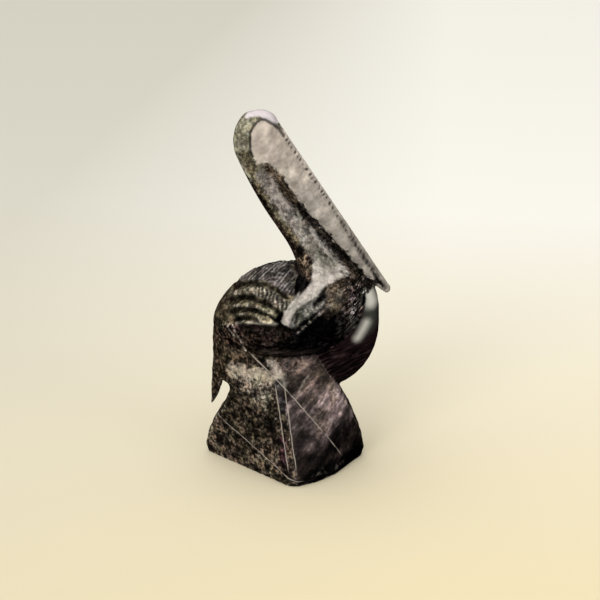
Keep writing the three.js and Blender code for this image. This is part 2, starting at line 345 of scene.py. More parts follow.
@dataclass
class Rock:
    """The broken block that the bird sits on, with the rump and hanging tail."""

    crown: float = 79.0
    foot: float = 1.2
    lump: float = 7.0
    lump_height: float = 0.45
    grit: float = 2.2
    grit_height: float = 0.22
    chip: float = 4.5
    chip_depth: float = 0.9
    ridge_rounds: int = 4
    ridge_height: tuple[float, float] = (0.04, 0.16)
    matt: float = 0.75
    tail: Line = ((-38.5, 78), (-39.5, 62), (-43, 48), (-46, 34))
    sand: Line = ((-34.5, 60.5), (-28.2, 60.4), (-22.4, 60.9), (-16.8, 60.9), (-12.5, 60.3), (-9.3, 59.5))
    corner: Line = ((-9.4, 67), (-7.2, 64), (-4.6, 59.5), (-4.4, 55))
    strip: Line = ((-5.6, 57), (-3.4, 43))
    strokes: tuple[Line, ...] = (
        ((4.7, 51.4), (6.6, 56), (9.4, 60)),
        ((12.7, 73.1), (17.6, 65.7), (22.6, 55.4)),
    )
    shade: Line = ((-41.6, 66), (-35, 69), (-29, 70.5), (-23, 72), (-15, 73), (-8, 72.5))

    def share(self, skin: Skin, bird: Array) -> Array:
        """How much each point belongs to the rock, from how much belongs to the bird's masses."""
        return (1 - bird) * ramp(skin.points[:, 2], self.crown + 2, self.crown - 2)

    def carve(self, skin: Skin, rock: Array) -> None:
        """Roughens the broken faces and chips their edges.

        Args:
            skin: The surface.
            rock: How much each point belongs to the rock.
        """
        share = rock * ramp(skin.points[:, 2], self.foot, self.foot + 3)
        lumps = skin.grain(self.lump, 3) * self.lump_height
        grit = skin.grain(self.grit, 4) * self.grit_height
        chips = ramp(skin.grain(self.chip, 5), 0.25, 0.6) * self.chip_depth
        skin.press(share * (lumps + grit + chips * self.ridges(skin)))

    def ridges(self, skin: Skin) -> Array:
        """How sharp the edge is that each point lies on.

        Args:
            skin: The surface.

        Returns:
            Shares between 0 and 1.
        """
        smooth = Skin(skin.mesh)
        smooth.points = skin.points.copy()
        smooth.rub(np.ones(len(skin.points)), self.ridge_rounds, keep_size=False)
        outward = np.einsum("ij,ij->i", skin.points - smooth.points, skin.normals())
        return ramp(outward, *self.ridge_height)

    def stain(self, skin: Skin, rock: Array) -> None:
        """Colours the granular left faces, the streaked right face and the tail.

        Args:
            skin: The surface.
            rock: How much each point belongs to the rock.
        """
        x, _, z = skin.points.T
        normals = skin.normals()
        right = rock * ramp(normals[:, 0] + 0.06 * skin.grain(2.5, 6), 0.02, 0.2)
        clouds = skin.grain(11, 7)
        # The left faces: dark, a little paler low down, with a sandy band below the rump
        # that is partly painted light where the flare faces up.
        skin.paint(rock, Stone.ROCK_LEFT)
        skin.paint(rock * ramp(z + 7 * clouds, 34, 14), Stone.ROCK_LEFT_LOW)
        skin.mottle += rock
        Stain(Stone.SAND, self.sand, reach=3.4, soft=5, ragged=2.6, mottle=0.2).lay(skin, rock)
        Stain(
            Stone.SAND, ((-23, 54), (-13, 52), (-16, 46)),
            reach=4, soft=8, ragged=3, share=0.4, mottle=0.4,
        ).lay(skin, rock)
        # The right face: mauve, browner above and dark towards the foot.
        skin.paint(right, Stone.ROCK_RIGHT)
        skin.paint(right * ramp(z + 9 * clouds, 42, 58), Stone.ROCK_RIGHT_UP)
        skin.paint(0.6 * right * ramp(skin.grain(7, 28), 0, 0.45), Stone.NECK_BROWN)
        skin.paint(right * ramp(z + 8 * clouds - 0.25 * x, 29, 14), Stone.ROCK_RIGHT_LOW)
        Stain(Stone.RUMP, self.tail, reach=6, soft=5, ragged=3, mottle=0.9).lay(skin, rock)
        left = rock * (1 - right)
        Stain(Stone.RUMP, self.shade, reach=4.5, soft=4, ragged=2.5, mottle=0.9).lay(skin, left)
        skin.paint(rock * ramp(z + 1.5 * clouds, 12.5, 7.5) * ramp(x, 3, 18), Stone.ROCK_FOOT)
        ridges = self.ridges(skin) * rock * ramp(skin.grain(5, 8), -0.3, 0.3)
        skin.paint(0.25 * ridges, Stone.SAND)
        # The near edge: a pale corner above a dark strip, and one reddish fleck.
        near = ramp(skin.points[:, 1], -14, -19)
        corner = Stain(Stone.VEIN, self.corner, reach=2.3, soft=3, ragged=1.2, share=0.8, mottle=0.1)
        corner.lay(skin, rock * near)
        Stain(
            Stone.ROCK_NEAR, self.strip,
            reach=1.9, soft=1.2, ragged=0.6, share=0.85, mottle=0.7,
        ).lay(skin, rock * near)
        Stain(
            Stone.MAGENTA, ((-3.4, 27), (-2.6, 15)),
            reach=1.4, soft=3, ragged=1.6, share=0.6, mottle=0.8,
        ).lay(skin, near)
        pale = near * corner.share_at(skin)
        for stroke in self.strokes:
            mark = Stain(Stone.VEIN, stroke, reach=0.4, soft=1.0, ragged=0.5, share=0.8, mottle=0.3)
            mark.lay(skin, rock)
            pale = np.maximum(pale, mark.share_at(skin))
        skin.mottle *= 1 - 0.7 * right
        skin.streak += right * (1 - 0.8 * pale)
        skin.rough += rock * self.matt
        foot = ramp(x, 5, 9) * ramp(z, 14, 9)
        skin.vein += rock * (1 - foot) * ramp(skin.grain(6, 25), -0.6, 0.1)
        # Where the near edge's pale lines show: partly wear, partly painted highlight on the bevel's
        # edges.
        skin.edge_line += rock * ramp(skin.points[:, 1], -17, -21) * ramp(z, 58, 52) * ramp(z, 8, 14)


@dataclass(frozen=True)
class FeatherRow:
    """The carved groove between two rows of feathers, in side view, with a raised quill above it."""

    line: Line
    wide: float
    quill: float

    def reach(self, points: Array) -> Array:
        """How much each point lies between the ends of the groove."""
        x, start, end = points[:, 0], self.line[0][0], self.line[-1][0]
        return ramp(x, start - 1.5, start + 1) * ramp(x, end + 1.5, end - 1)


@dataclass(frozen=True)
class WingMarks:
    """How much of each carved mark of the wing the points have."""

    groove: Array
    quill: Array
    strokes: Array
    barbs: Array
    edge: Array
    between: Array


@dataclass
class Wing:
    """The folded wing: stacked rows of feathers, and long feathers hatched over the back."""

    rows: tuple[FeatherRow, ...] = (
        FeatherRow(
            ((-31.6, 102.8), (-26.9, 105.4), (-20.9, 107.4), (-14.6, 108.1), (-8, 106.4), (-1.6, 103.2)),
            wide=0.9, quill=0.5,
        ),
        FeatherRow(
            ((-32.4, 98.3), (-27.4, 100.3), (-21.2, 101.7), (-15.9, 101.4), (-10.7, 99.6), (-4.5, 96.1)),
            wide=1.2, quill=0.8,
        ),
        FeatherRow(
            ((-31.9, 93.6), (-26.8, 95.5), (-21.4, 96.6), (-16.2, 96.4), (-13.4, 95.6)),
            wide=1.2, quill=1.0,
        ),
        FeatherRow(((-15, 96.1), (-10.2, 94.7), (-3.6, 91.2), (-1.6, 89.8)), wide=0.6, quill=0.7),
        FeatherRow(
            ((-29, 89.9), (-26.6, 91.3), (-23.9, 92.2), (-20.6, 92.5), (-17.8, 92.2), (-15.4, 91.4)),
            wide=1.0, quill=1.0,
        ),
    )
    groove_depth: float = 0.7
    quill: float = 0.6
    quill_height: float = 0.28
    stroke_gap: float = 2.1
    stroke_depth: float = 0.45
    stroke_sharpness: float = 1.6
    stroke_start: tuple[float, float] = (-21, -16)
    barb_gap: float = 2.3
    barb_turn: float = 19.2
    barb_depth: float = 0.4
    back_level: float = 83.0
    edge: Line = (
        (-46, 87), (-30.8, 87.9), (-25.5, 89.6), (-18.1, 91), (-11.7, 91.4), (-5.3, 91), (0, 90), (6, 90),
    )
    edge_wide: float = 0.8
    edge_height: float = 0.5
    front: float = 3.0
    groove_dark: float = 1.3
    stroke_dark: float = 0.8

    def share(self, skin: Skin, back: Array) -> Array:
        """How much each point belongs to the wing.

        Args:
            skin: The surface.
            back: How much each point belongs to the back.

        Returns:
            Shares between 0 and 1.
        """
        x = skin.points[:, 0]
        blend = 8 * ramp(x, -32, -39)
        edge = np.clip((above(skin.points, self.edge) + 0.7 + blend) / (1 + 2 * blend), 0, 1)
        return back * ramp(edge, 0, 1) * ramp(x, self.front + 3, self.front - 1)

    def marks(self, skin: Skin, wing: Array) -> WingMarks:
        """The carved marks: row grooves, their raised quills, strokes, barbs and the lower edge.

        Args:
            skin: The surface.
            wing: How much each point belongs to the wing.

        Returns:
            The marks.
        """
        points = skin.points
        x, y, z = points.T
        wobble = 0.4 * skin.grain(4, 9)
        uneven = 0.85 + 0.5 * skin.grain(3, 10)
        worn = ramp(skin.grain(3.5, 22), -0.5, 0.1)
        groove = np.zeros(len(points))
        quill = np.zeros(len(points))
        for row in self.rows:
            off = above(points, row.line) + wobble
            here = wing * row.reach(points)
            groove = np.maximum(groove, here * uneven * np.exp(-((off / row.wide) ** 2)))
            ridge = np.exp(-(((off - row.wide - self.quill) / self.quill) ** 2))
            quill = np.maximum(quill, here * worn * row.quill * ridge)
        above_first = above(points, self.rows[0].line)
        above_second = above(points, self.rows[1].line)
        between = wing * ramp(above_first, -0.8, -1.6) * ramp(above_second, 1.2, 2.2)
        between *= ramp(x, -34, -29) * ramp(x, 1, -2)
        ticks = between * ramp(x, *self.stroke_start)
        strokes = ticks * self.strokes(x / self.stroke_gap + 0.5 * skin.grain(5, 11))
        # The barbs fan out over the back, and each is broken at its own places.
        lift = np.arctan2(z - self.back_level, np.abs(y))
        drift = 0.9 * skin.grain(14, 14) + 0.3 * skin.grain(5, 15)
        phase = (x - self.barb_turn * lift) / self.barb_gap + drift
        ends = np.stack((0.73 * np.round(phase), 2.2 * lift, np.sign(y)), axis=1)
        upper = wing * ramp(above_first, 0.8, 1.8)
        barbs = upper * ramp(grain(ends, 1.0, 12), -0.3, 0.35) * self.strokes(phase)
        side = ramp(np.abs(y), 9, 12) * ramp(x, -4, -8) * ramp(x, -33, -30)
        edge = side * np.exp(-((above(points, self.edge) / self.edge_wide) ** 2))
        return WingMarks(groove, quill, strokes, barbs, edge, between)

    def carve(self, skin: Skin, marks: WingMarks) -> None:
        """Cuts the grooves and strokes and leaves quills, barbs and the lower edge raised.

        Args:
            skin: The surface.
            marks: The carved marks.
        """
        skin.press(
            self.groove_depth * marks.groove
            - self.quill_height * marks.quill
            + self.stroke_depth * marks.strokes
            - self.barb_depth * marks.barbs
            - self.edge_height * marks.edge
        )
        # Grooves and strokes are darkened: partly grime, partly painted shade in the cuts.
        skin.hollow_grime_and_shade += self.groove_dark * marks.groove + self.stroke_dark * marks.strokes

    def strokes(self, phase: Array) -> Array:
        """Narrow cuts, one for each whole number of the phase."""
        return (0.5 + 0.5 * np.cos(2 * np.pi * phase)) ** self.stroke_sharpness

    def stain(self, skin: Skin, wing: Array, marks: WingMarks) -> None:
        """Colours the olive feather rows and the grey back, with painted shade at its front, beside the
        fold.

        Args:
            skin: The surface.
            wing: How much each point belongs to the wing.
            marks: The carved marks.
        """
        x, _, z = skin.points.T
        skin.paint(wing, Stone.WING)
        skin.paint(wing * ramp(above(skin.points, self.rows[0].line), 0.2, 1.4), Stone.BACK)
        skin.paint(0.65 * wing * ramp(x, -15, -24), Stone.RUMP)
        skin.paint(wing * marks.between * (0.35 + 0.45 * ramp(x, *self.stroke_start)), Stone.QUILL)
        # Painted shade at the wing's front, where it runs in beside the fold.
        skin.paint(0.6 * wing * ramp(x + 0.5 * (z - 112), -8, 1), Stone.GAP)
        # Quills painted paler: partly worn polish, partly painted highlight on edges that catch the light.
        skin.paint(wing * 0.75 * marks.quill, Stone.QUILL)
        skin.paint(wing * 0.9 * marks.barbs, Stone.BARB)
        skin.paint(wing * 0.85 * ramp(x + 0.5 * (z - 95), -30, -38), Stone.RUMP)
        skin.mottle += wing * (0.6 - 0.5 * marks.barbs - skin.mottle)
        skin.paint(0.8 * marks.edge * ramp(skin.grain(4, 23), -0.5, 0), Stone.QUILL)


@dataclass
class Bill:
    """The long bill laid down the front of the neck, with its framed side panel."""

    top: Place = (-7.4, 0.0, 189.6)
    tip: Place = (50.9, 0.0, 103.5)
    arch: Line = (
        (9.9, 18.7), (6.3, 19.2), (2.2, 18.1), (0.1, 16.7), (-4.9, 13.3), (-6.5, 10.5), (-7.4, 7.6),
        (-7.4, 5.3), (-5.8, 3.5), (-3.9, 2.6), (-1.2, 1.6), (2.1, 1.1),
    )
    end: float = 106.0
    edge: Line = ((45, 1.1), (75, 1.6), (101, 1.9))
    under: Line = (
        (104, 4.6), (95.2, 4), (81.3, 6), (70.5, 8.2), (60.1, 9.9), (48.7, 11.5), (37.5, 11.8),
        (29, 12.1), (19.7, 11.8), (12.6, 14.3),
    )
    groove: float = 0.6
    groove_depth: float = 0.5
    dash: float = 2.7
    arch_end: float = 6.0
    arch_line: float = 0.8
    crown: Line = (
        (-23.8, 193), (-19.2, 194.2), (-15.7, 193.4), (-12.4, 192), (-9.1, 189.2), (-6, 191), (-10, 198),
        (-24, 198),
    )

    def place(self, points: Array) -> Array:
        """Places along the upper edge of the bill and below it.

        Args:
            points: Places in millimetres.

        Returns:
            Two columns, along and below.
        """
        top, tip = np.array(self.top), np.array(self.tip)
        along = (tip - top) / np.linalg.norm(tip - top)
        inward = np.array((along[2], 0, -along[0]))
        return np.stack(((points - top) @ along, (points - top) @ inward), axis=1)

    def panel(self, skin: Skin) -> Array:
        """How much each point belongs to the pale side panel.

        Args:
            skin: The surface.

        Returns:
            Shares between 0 and 1.
        """
        place = self.place(skin.points)
        outline = (*self.arch, (self.arch_end, -1), (self.end, -1), *self.under)
        away = to_line(place, outline, closed=True)
        ragged = ramp(place[:, 1], 3, 5) * (1 + 1.5 * ramp(place[:, 0], 25, 50))
        away = away + ragged * (0.9 * skin.grain(2.6, 15) + 0.5 * skin.grain(1.2, 16))
        return ramp(away, 0.5, -0.5)

    def path(self) -> Line:
        """The line that frames the panel, as along and below."""
        return (*self.arch[1:], *self.edge)

    def frame_line(self, skin: Skin) -> Array:
        """How deep the dashed line round the panel is at each point.

        Args:
            skin: The surface.

        Returns:
            Shares between 0 and 1.
        """
        place = self.place(skin.points)
        away = to_line(place, self.path())
        along = place[:, 0]
        beat = 0.5 + 0.5 * np.cos(2 * np.pi * (along / self.dash + 0.6 * skin.grain(5, 17)))
        broken = ramp(skin.grain(3, 19), -0.5, 0)
        faint = 0.35 * ramp(along, 45, 65) + 0.25 * ramp(along, 78, 92)
        narrow = 3 - 1.5 * ramp(along, 65, 80)
        dashes = np.maximum(beat**narrow, faint) * broken
        dashes = np.where(along > self.arch_end, dashes, self.arch_line)
        flank = ramp(np.abs(skin.points[:, 1]), 0.5, 1.2)
        wide = self.groove * (1 + 0.8 * ramp(along, 50, 85))
        return flank * dashes * np.exp(-((away / wide) ** 2))

    def carve(self, skin: Skin) -> None:
        """Cuts the line that frames the panel.

        Args:
            skin: The surface.
        """
        line = self.frame_line(skin)
        skin.press(self.groove_depth * line)
        # The line is darkened: partly grime, partly painted shade in the cut.
        skin.hollow_grime_and_shade += line

    def stain(self, skin: Skin) -> None:
        """Colours the bill and its panel, and paints a highlight on the crown.

        Args:
            skin: The surface.
        """
        along, below = self.place(skin.points).T
        panel = self.panel(skin)
        skin.paint(panel, Stone.BILL)
        skin.paint(panel * ramp(along, 8, 46), Stone.BILL_LOW)
        # The tip is darkened inside, in the colour of the painted gap shade.
        dark = ramp(along, 88, 95) * ramp(along, 102, 99) * ramp(below, 1, 2) * ramp(below, 9, 5)
        skin.paint(dark * ramp(skin.grain(2, 18), 0.3, -0.1), Stone.GAP)
        skin.mottle *= 1 - 0.9 * panel
        skin.streak = skin.streak * (1 - panel) + 0.28 * panel
        # Painted highlight on the crown: a band just outside the arch.
        Stain(
            Stone.CROWN, self.crown,
            reach=0, soft=1.2, ragged=0.5, share=0.9, closed=True, mottle=0.0,
        ).lay(skin)


@dataclass
class NeckAndBreast:
    """Head, neck, wing fold, breast and belly."""

    fold: tuple[Place, ...] = (
        (6, -2, 131), (12.2, -9, 121.4), (13.2, -17, 112.6), (9.4, -22.4, 106), (4.4, -24.4, 98.6),
        (-2, -26, 91.4),
    )
    lens: Line = ((17, 106), (14.9, 104.6), (11.1, 102), (7, 99.4), (3.8, 95.8))
    lens_wide: float = 2.4
    lens_depth: float = 1.0
    stripe: Line = ((20, 102), (14.3, 97), (8.7, 90.8), (5.4, 87.6))
    stripe_wide: float = 1.2
    stripe_height: float = 0.5
    soften_rounds: int = 16
    ridge: Line = ((8.6, 136.2), (14, 129), (20.5, 121.8), (26.5, 117), (29.1, 114.7))
    stains: tuple[Stain, ...] = (
        Stain(
            Stone.CAP, ((-14, 190), (-24, 188), (-26, 178), (-23.5, 170)),
            reach=12, soft=10, ragged=6, mottle=0.4,
        ),
        Stain(
            Stone.NECK_OLIVE, (
                (-23.9, 174.4), (-20.4, 167.2), (-16.4, 160), (-12.5, 153.2), (-8.4, 147.5), (-3, 140),
                (3, 132),
            ),
            reach=2.8, soft=2, ragged=1.4, mottle=0.6,
        ),
        Stain(
            Stone.NECK_DARK,
            ((-23.4, 161), (-19.4, 152.6), (-14.4, 145), (-9.2, 137.8), (-4, 130), (0.8, 123)),
            reach=2.0, soft=3.0, ragged=3.6, mottle=0.9,
        ),
        Stain(
            Stone.NECK_MAUVE,
            ((-14.8, 164.2), (-10.4, 156.8), (-5.9, 150), (-1.3, 143.9), (3.9, 137.3), (9.2, 130.9)),
            reach=4.0, soft=2.6, ragged=2.4, mottle=0.4,
        ),
        Stain(
            Stone.NECK_BROWN, ((-11.8, 169), (-8.3, 164.8), (-4.9, 159.3), (0.6, 151.4)),
            reach=2.6, soft=2, ragged=2, mottle=0.7,
        ),
        # Painted shade in the groove between the bill and the neck.
        Stain(
            Stone.GAP, (
                (3.4, 142.9), *ridge, (36.8, 106.7), (38.9, 102.5), (44, 108.6), (33.2, 120),
                (25.4, 128), (18.1, 136), (10.4, 144), (5, 151), (1.8, 149.1),
            ),
            reach=0, soft=1.2, ragged=0.7, closed=True, mottle=0.9,
        ),
        # Painted highlight along the sharp ridge at the neck's front.
        Stain(Stone.NECK_RIDGE, ridge, reach=0.7, soft=1, ragged=0.5, share=0.9, mottle=0.1),
        Stain(
            Stone.NECK_BROWN, ((5.9, 122.5), (8.7, 119.8), (7.6, 115.6)),
            reach=2.6, soft=2.4, ragged=1.6, mottle=0.9,
        ),
        Stain(Stone.BREAST, ((5.8, 126.5), (4.6, 124.5)), reach=1.2, soft=1.6, ragged=0.8),
        Stain(
            Stone.TAN, (
                (29.7, 114.1), (30.5, 110.5), (28, 106), (24.5, 102), (20, 100.5), (16.5, 103.5),
                (18.9, 109), (22.9, 114.6),
            ),
            reach=1.0, soft=9.0, ragged=2.6, closed=True, mottle=0.7,
        ),
        Stain(
            Stone.BAND, (
                (11.2, 124), (11.4, 118.1), (11.5, 113.5), (8.5, 109.9), (4.1, 105), (0.3, 101.2),
                (-2.6, 96.8), (-3.4, 91.4), (0.4, 90.2), (1.9, 95.3), (4.2, 99.4), (9.5, 103.1),
                (14.1, 106.3), (16.2, 109.5), (20.6, 112.8), (24.2, 114.1), (28.5, 114.7), (25.3, 117),
                (18.6, 121.4),
            ),
            reach=0, soft=1.6, ragged=0.5, closed=True, mottle=0.15,
        ),
        Stain(
            Stone.NECK_LOW, ((10.8, 127.6), (15, 122.6), (21, 118.6)),
            reach=2.4, soft=7, ragged=1.2, mottle=0.25,
        ),
        # Painted shade in the hollow between the band and the wing.
        Stain(
            Stone.BREAST, ((-2.7, 108.8), (1.5, 107.6), (4.6, 109), (7.4, 111.6)),
            reach=2.2, soft=2, ragged=0.8, mottle=0.8,
        ),
        Stain(
            Stone.LENS, (
                (18.6, 108), (19.4, 103.6), (13.5, 99), (8.2, 94.6), (3.4, 89.6), (0.4, 90.2),
                (4.2, 99.4), (14.1, 106.3),
            ),
            reach=0, soft=1.6, ragged=0.8, closed=True, mottle=0.5,
        ),
        # This stain and the next are painted shade along the bottom of the lens hollow.
        Stain(
            Stone.BREAST, ((17.9, 106.6), (14.9, 104.4), (13, 102.8)),
            reach=1.3, soft=1.8, ragged=0.8, mottle=0.4,
        ),
        Stain(
            Stone.BREAST, ((7, 98.4), (4.4, 95.6), (3.2, 92.4)),
            reach=0.8, soft=2, ragged=1, share=0.85, mottle=0.4,
        ),
        Stain(
            Stone.BILL_LOW, ((21.1, 102.6), (18.9, 101.2), (14.3, 97), (8.7, 90.8), (4.6, 86.6)),
            reach=0.3, soft=1.2, ragged=1.1, share=0.75, mottle=0.6,
        ),
    )
    swirl: tuple[Stain, ...] = (
        Stain(
            Stone.QUILL, ((-31.4, 88.7), (-32.5, 86), (-30.7, 83.4), (-27.9, 81.3)),
            reach=0.3, soft=0.7, ragged=0.3, share=0.7,
        ),
        Stain(
            Stone.VEIN, ((-29.8, 87.9), (-27.8, 84.1), (-25.2, 79.5), (-23.3, 73.3)),
            reach=0.3, soft=0.7, ragged=0.2, share=0.7,
        ),
    )
    # Painted highlights on the breast's right side, with a darker painted sheen between them.
    sheen: tuple[Stain, ...] = (
        Stain(
            Stone.SHEEN, ((38.5, 106), (40.5, 97), (40, 88), (38.6, 85)),
            reach=3.8, soft=7, ragged=0.4,
        ),
        Stain(Stone.PALE, ((38.4, 106), (40.2, 101), (41, 97.8)), reach=2.9, soft=6, ragged=0.3),
        Stain(Stone.PALE, ((38.8, 87), (36.4, 82.4), (34.4, 79)), reach=1.3, soft=5.5, ragged=0.3),
    )

    def soften(self, skin: Skin) -> None:
        """Lets the fold, the neck and the shoulders run into each other."""
        joint = ramp(to_line(skin.right_flank(), self.fold), 13, 7) * ramp(skin.points[:, 2], 84, 90)
        skin.rub(joint, self.soften_rounds, keep_size=False)

    def carve(self, skin: Skin) -> None:
        """Hollows the lens behind the fold and raises the stripe beside it.

        Args:
            skin: The surface.
        """
        side = ramp(np.abs(skin.points[:, 1]), 12, 16)
        view = skin.side_view()
        lens = side * np.exp(-((to_line(view, self.lens) / self.lens_wide) ** 2))
        stripe = side * np.exp(-((to_line(view, self.stripe) / self.stripe_wide) ** 2))
        skin.press(self.lens_depth * lens - self.stripe_height * stripe)

    def stain(self, skin: Skin, masses: dict[str, Array]) -> None:
        """Colours the bird from the crown to the belly, with painted highlights and painted shade.

        Args:
            skin: The surface.
            masses: How much each point belongs to the back, the shoulders and the breast.
        """
        x, _, z = skin.points.T
        upper = ramp(z, 112, 118)
        skin.paint(upper, Stone.NECK_DARK)
        skin.mottle += upper * 0.9
        back, shoulders, breast = masses["back"], masses["shoulders"], masses["breast"]
        # The flank below the wing with painted shade low down, and the belly with painted highlights.
        flank = back * ramp(z, 91, 87)
        skin.paint(flank, Stone.FLANK)
        rear = ramp(x, -12, -24)
        drift = skin.grain(8, 26)
        skin.paint(0.3 * back * rear * ramp(z + 3 * drift, 88, 80), Stone.RUMP)
        # Painted shade low on the flank, where it tucks in above the rock.
        skin.paint(0.35 * back * (1 - rear) * ramp(z + 2 * drift, 83, 76), Stone.ROCK_FOOT)
        skin.paint(back * ramp(z, 91, 88) * ramp(x, -6, 4), Stone.BREAST)
        skin.mottle += flank * (0.9 + 0.2 * rear)
        skin.scratch += 0.7 * back * ramp(z, 88, 82) * (1 - rear)
        skin.paint(breast, Stone.BELLY)
        skin.scratch += breast * ramp(z, 80, 70)
        for stain in self.sheen:
            skin.paint(breast * ramp(x, 45.6, 43.6) * stain.share_at(skin), stain.stone)
        # The breast under the bill, paler at its front rim.
        below = shoulders * (1 - upper)
        skin.paint(below, Stone.BREAST)
        skin.mottle += 0.5 * below * (1 - back)
        rim = below * ramp(x + 6 * skin.grain(3, 27), 24, 32)
        skin.paint(rim, Stone.RIM)
        skin.mottle += 0.7 * rim
        skin.scratch += 1.3 * rim
        for stain in (*self.stains, *self.swirl):
            stain.lay(skin)
        # Painted shade: the upper neck and head are darker where they face back, away from the light.
        behind = ramp(-skin.normals()[:, 0] + 0.04 * skin.grain(4, 29), 0.88, 0.98)
        skin.paint(0.75 * upper * behind, Stone.NECK_DARK)


@dataclass(frozen=True)
class Vein:
    """A healed crack, filled with pale calcite: a plane through the block."""

    normal: Place
    distance: float
    half_width: float


def add_node(
    tree: NodeTree,
    kind: str,
    settings: dict[str, object] | None = None,
    inputs: dict[str | int, object] | None = None,
) -> Node:
    """Adds a node, sets its options and fills or links its inputs.

    Args:
        tree: The node tree.
        kind: The type of shader node.
        settings: Options by name.
        inputs: Values or sockets by input.

    Returns:
        The new node.
    """
    node = tree.nodes.new(f"ShaderNode{kind}")
    for name, value in (settings or {}).items():
        setattr(node, name, value)
    for key, value in (inputs or {}).items():
        if isinstance(value, NodeSocket):
            tree.links.new(value, node.inputs[key])
        else:
            node.inputs[key].default_value = value
    return node


